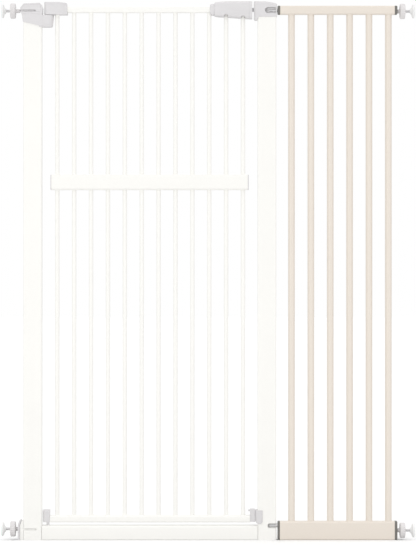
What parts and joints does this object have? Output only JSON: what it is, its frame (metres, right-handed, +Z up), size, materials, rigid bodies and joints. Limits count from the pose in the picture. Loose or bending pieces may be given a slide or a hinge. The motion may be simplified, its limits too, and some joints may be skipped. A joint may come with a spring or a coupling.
{
  "type": "safety gate",
  "caption": "Tall pressure-mounted walk-through safety gate with a lift-and-swing barred door, sliding thumb latch, screw-out wall pads and a bolted barred side panel.",
  "frame": {"origin": "centre of the footprint on the floor: halfway between the outer faces of the left and right wall pads, in the plane of the rods", "axes": "+X to the right seen from the front (hinge on the left, panel on the right), +Y to the back, +Z up"},
  "size_m": [1.15, 0.0426, 1.4996],
  "materials": {
    "gate_white": "smooth white powder coat, satin",
    "panel_beige": "warm off-white powder coat, satin",
    "light_grey_plastic": "fine moulded grain, light grey",
    "wheel_grey_plastic": "fine moulded grain, mid grey",
    "dark_grey_plastic": "moulded, dark warm grey",
    "zinc_steel": "zinc-plated turned steel",
    "pad_white": "soft white rubber, matte"
  },
  "bodies": {
    "frame": {"connector_bolt_bottom": "zinc_steel", "connector_bolt_top": "zinc_steel", "corner_fitting": "light_grey_plastic", "hinge_post_cap": "light_grey_plastic", "latch_keeper": "light_grey_plastic", "latch_post_cap": "light_grey_plastic", "left_post": "gate_white", "panel_bar_1": "panel_beige", "panel_bar_2": "panel_beige", "panel_bar_3": "panel_beige", "panel_bar_4": "panel_beige", "panel_bar_5": "panel_beige", "panel_bar_6": "panel_beige", "panel_bottom_rail": "panel_beige", "panel_cap_bottom_left": "dark_grey_plastic", "panel_cap_bottom_right": "dark_grey_plastic", "panel_cap_top_left": "dark_grey_plastic", "panel_cap_top_right": "dark_grey_plastic", "panel_top_rail": "panel_beige", "right_post": "gate_white", "sill_tube": "gate_white"},
    "hinge_pins": {"upper_hinge_pin": "zinc_steel", "lower_hinge_pin": "zinc_steel"},
    "door": {"door_bar_01": "gate_white", "door_bar_02": "gate_white", "door_bar_03": "gate_white", "door_bar_04": "gate_white", "door_bar_05": "gate_white", "door_bar_06": "gate_white", "door_bar_07": "gate_white", "door_bar_08": "gate_white", "door_bar_09": "gate_white", "door_bar_10": "gate_white", "door_bar_11": "gate_white", "door_bar_12": "gate_white", "door_bottom_rail": "gate_white", "door_mid_rail": "gate_white", "door_top_rail": "gate_white", "handle_back": "light_grey_plastic", "handle_front": "light_grey_plastic", "hinge_housing": "light_grey_plastic", "lower_hinge_block": "light_grey_plastic", "lower_latch_block": "light_grey_plastic", "mid_rail_plug_left": "light_grey_plastic", "mid_rail_plug_right": "light_grey_plastic"},
    "latch": {"latch_bolt": "zinc_steel", "thumb_slider": "wheel_grey_plastic", "latch_spring": "zinc_steel"},
    "left_top_spindle": {"left_top_rod": "zinc_steel", "left_top_pad": "pad_white"},
    "left_top_nut": {"left_top_wheel": "wheel_grey_plastic"},
    "left_bottom_spindle": {"left_bottom_rod": "zinc_steel", "left_bottom_pad": "pad_white"},
    "left_bottom_nut": {"left_bottom_wheel": "wheel_grey_plastic"},
    "right_top_spindle": {"right_top_rod": "zinc_steel", "right_top_pad": "pad_white"},
    "right_top_nut": {"right_top_wheel": "wheel_grey_plastic"},
    "right_bottom_spindle": {"right_bottom_rod": "zinc_steel", "right_bottom_pad": "pad_white"},
    "right_bottom_nut": {"right_bottom_wheel": "wheel_grey_plastic"}
  },
  "joints": [
    {"name": "door_lift", "type": "slide", "parent": "frame", "child": "hinge_pins", "axis": [0, 0, 1], "range_m": [0, 0.008]},
    {"name": "door_swing", "type": "hinge", "parent": "hinge_pins", "child": "door", "pos_m": [-0.446, 0, 0.75], "axis": [0, 0, 1], "range_deg": [-90, 90]},
    {"name": "latch_slide", "type": "slide", "parent": "door", "child": "latch", "axis": [-1, 0, 0], "range_m": [0, 0.013], "stiffness_N_per_m": 250, "springref_m": -0.012, "deforming": ["latch_spring"]},
    {"name": "left_top_nut_turn", "type": "hinge", "parent": "frame", "child": "left_top_nut", "pos_m": [-0.54325, 0, 1.473], "axis": [-1, 0, 0], "range_deg": [-3240, 7200]},
    {"name": "left_top_spindle_slide", "type": "slide", "parent": "frame", "child": "left_top_spindle", "axis": [-1, 0, 0], "range_m": [-0.0113, 0.0251]},
    {"name": "left_bottom_nut_turn", "type": "hinge", "parent": "frame", "child": "left_bottom_nut", "pos_m": [-0.54325, 0, 0.03], "axis": [-1, 0, 0], "range_deg": [-3240, 7200]},
    {"name": "left_bottom_spindle_slide", "type": "slide", "parent": "frame", "child": "left_bottom_spindle", "axis": [-1, 0, 0], "range_m": [-0.0113, 0.0251]},
    {"name": "right_top_nut_turn", "type": "hinge", "parent": "frame", "child": "right_top_nut", "pos_m": [0.54175, 0, 1.472], "axis": [1, 0, 0], "range_deg": [-3240, 7200]},
    {"name": "right_top_spindle_slide", "type": "slide", "parent": "frame", "child": "right_top_spindle", "axis": [1, 0, 0], "range_m": [-0.0113, 0.0251]},
    {"name": "right_bottom_nut_turn", "type": "hinge", "parent": "frame", "child": "right_bottom_nut", "pos_m": [0.54175, 0, 0.026], "axis": [1, 0, 0], "range_deg": [-3240, 7200]},
    {"name": "right_bottom_spindle_slide", "type": "slide", "parent": "frame", "child": "right_bottom_spindle", "axis": [1, 0, 0], "range_m": [-0.0113, 0.0251]}
  ],
  "couplings": [
    {"joint": "left_top_spindle_slide", "follows": "left_top_nut_turn", "m_per_rad": 0.00019894},
    {"joint": "left_bottom_spindle_slide", "follows": "left_bottom_nut_turn", "m_per_rad": 0.00019894},
    {"joint": "right_top_spindle_slide", "follows": "right_top_nut_turn", "m_per_rad": 0.00019894},
    {"joint": "right_bottom_spindle_slide", "follows": "right_bottom_nut_turn", "m_per_rad": 0.00019894}
  ]
}
